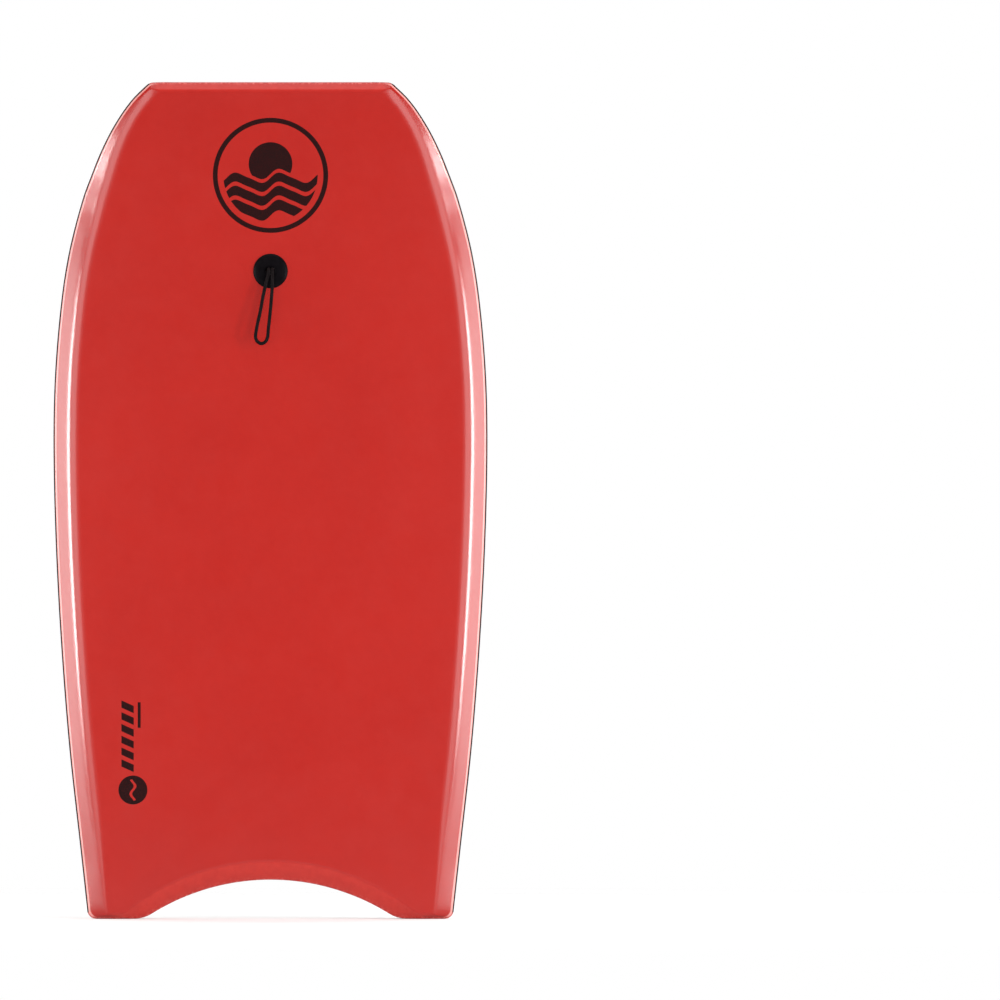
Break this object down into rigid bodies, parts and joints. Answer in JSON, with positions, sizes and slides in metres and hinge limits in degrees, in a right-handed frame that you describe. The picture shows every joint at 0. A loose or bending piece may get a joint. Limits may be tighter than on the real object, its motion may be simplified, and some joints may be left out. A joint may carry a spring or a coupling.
{
  "type": "bodyboard",
  "caption": "Foam bodyboard with a red deck, white slick bottom, layered side rails, crescent tail and a leash plug with a swinging cord loop.",
  "frame": {"origin": "bottom centre of the whole board: midway across the width and the thickness, at the level of the tail tips", "axes": "+Z along the board from tail to nose, X across its width, the deck faces -Y and the slick faces +Y"},
  "size_m": [0.5268, 0.0778, 1.016],
  "materials": {
    "core_foam": "matte",
    "deck_foam": "satin",
    "backing_foam": "matte",
    "slick_plastic": "gloss",
    "rail_foam": "satin",
    "pinline_foam": "matte",
    "plug_plastic": "gloss",
    "cord_fabric": "matte"
  },
  "bodies": {
    "board": {"core_blank": "core_foam", "deck_skin": "deck_foam", "slick_backing": "backing_foam", "slick_sheet": "slick_plastic", "rail_outer_left": "rail_foam", "rail_outer_right": "rail_foam", "rail_inner_left": "pinline_foam", "rail_inner_right": "pinline_foam", "nose_strip": "rail_foam", "tail_strip": "rail_foam", "plug_cap": "plug_plastic", "plug_anchor": "plug_plastic"},
    "cord_end": {"cord_knot": "cord_fabric"},
    "cord": {"cord_loop": "cord_fabric"}
  },
  "joints": [
    {"name": "cord_swivel", "type": "hinge", "parent": "board", "child": "cord_end", "pos_m": [0, -0.01409, 0.7866], "axis": [0, -1, 0], "range_deg": [-180, 180]},
    {"name": "cord_lift", "type": "hinge", "parent": "cord_end", "child": "cord", "pos_m": [0, -0.02209, 0.7891], "axis": [-1, 0, 0], "range_deg": [-4, 171]}
  ]
}
